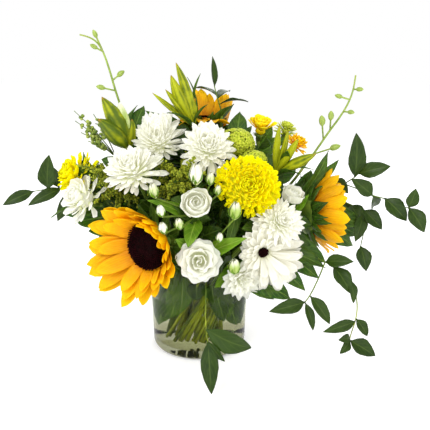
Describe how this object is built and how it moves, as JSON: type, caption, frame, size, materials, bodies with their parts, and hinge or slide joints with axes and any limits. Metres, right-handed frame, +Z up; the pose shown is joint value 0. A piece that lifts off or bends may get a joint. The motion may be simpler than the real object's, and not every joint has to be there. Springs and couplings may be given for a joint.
{
  "type": "mixed sunflower bouquet in a glass vase",
  "caption": "Mixed bouquet of sunflowers, chrysanthemums, lisianthus, lily buds and trailing sprays standing in water in a clear straight glass vase.",
  "frame": {"origin": "centre of the vase's underside, on the surface that it stands on", "axes": "+Z up, -Y towards the viewer at the bouquet's front, +X to the viewer's right"},
  "size_m": [0.5131, 0.2887, 0.3959],
  "materials": {
    "vase_glass": "clear, smooth",
    "water": "clear, faintly green",
    "ray_yellow": "satin petal",
    "disc_dark": "matte, crowded florets",
    "petal_white": "satin petal",
    "petal_yellow": "satin petal",
    "petal_orange": "satin petal",
    "petal_cream": "soft petal",
    "floret_lime": "matte florets",
    "leaf_green": "satin leaf",
    "leaf_dark": "glossy leaf",
    "stem_green": "satin stem",
    "bud_green": "satin bud",
    "filler_green": "matte tufts"
  },
  "bodies": {
    "root": {"vase": "vase_glass", "water": "water", "sunflower_1_green": "leaf_green", "sunflower_1_disc": "disc_dark", "sunflower_1_rays": "ray_yellow", "sunflower_2_green": "leaf_green", "sunflower_2_disc": "disc_dark", "sunflower_2_rays": "ray_yellow", "sunflower_3_green": "leaf_green", "sunflower_3_disc": "disc_dark", "sunflower_3_rays": "ray_yellow", "white_mum_1_petals": "petal_white", "white_mum_2_green": "stem_green", "white_mum_2_petals": "petal_white", "white_mum_3_green": "stem_green", "white_mum_3_petals": "petal_white", "white_mum_4_green": "stem_green", "white_mum_4_petals": "petal_white", "white_mum_5_green": "stem_green", "white_mum_5_petals": "petal_white", "white_daisy_green": "leaf_dark", "white_daisy_eye": "disc_dark", "white_daisy_petals": "petal_white", "yellow_mum_green": "stem_green", "yellow_mum_petals": "petal_yellow", "yellow_left_green": "stem_green", "yellow_left_petals": "petal_yellow", "yellow_top_green": "stem_green", "yellow_top_petals": "petal_yellow", "orange_bloom_petals": "petal_orange", "lisianthus_1_green": "stem_green", "lisianthus_1_petals": "petal_cream", "lisianthus_2_green": "stem_green", "lisianthus_2_petals": "petal_cream", "lisianthus_3_green": "stem_green", "lisianthus_3_petals": "petal_cream", "lisianthus_4_green": "stem_green", "lisianthus_4_petals": "petal_cream", "back_lisianthus_green": "stem_green", "back_lisianthus_petals": "petal_cream", "back_mum_green": "stem_green", "back_mum_petals": "petal_white", "snowballs": "floret_lime", "lily_1": "bud_green", "lily_2": "bud_green", "lily_3": "bud_green", "orchid_1": "bud_green", "orchid_2": "bud_green", "filler_1": "filler_green", "filler_2": "filler_green", "bead_spray": "filler_green", "filler_back": "filler_green", "ruscus_left": "leaf_dark", "ruscus_right": "leaf_dark", "ruscus_low": "leaf_dark", "ruscus_front": "leaf_dark", "ruscus_top": "leaf_dark", "ruscus_back": "leaf_dark"}
  },
  "joints": []
}
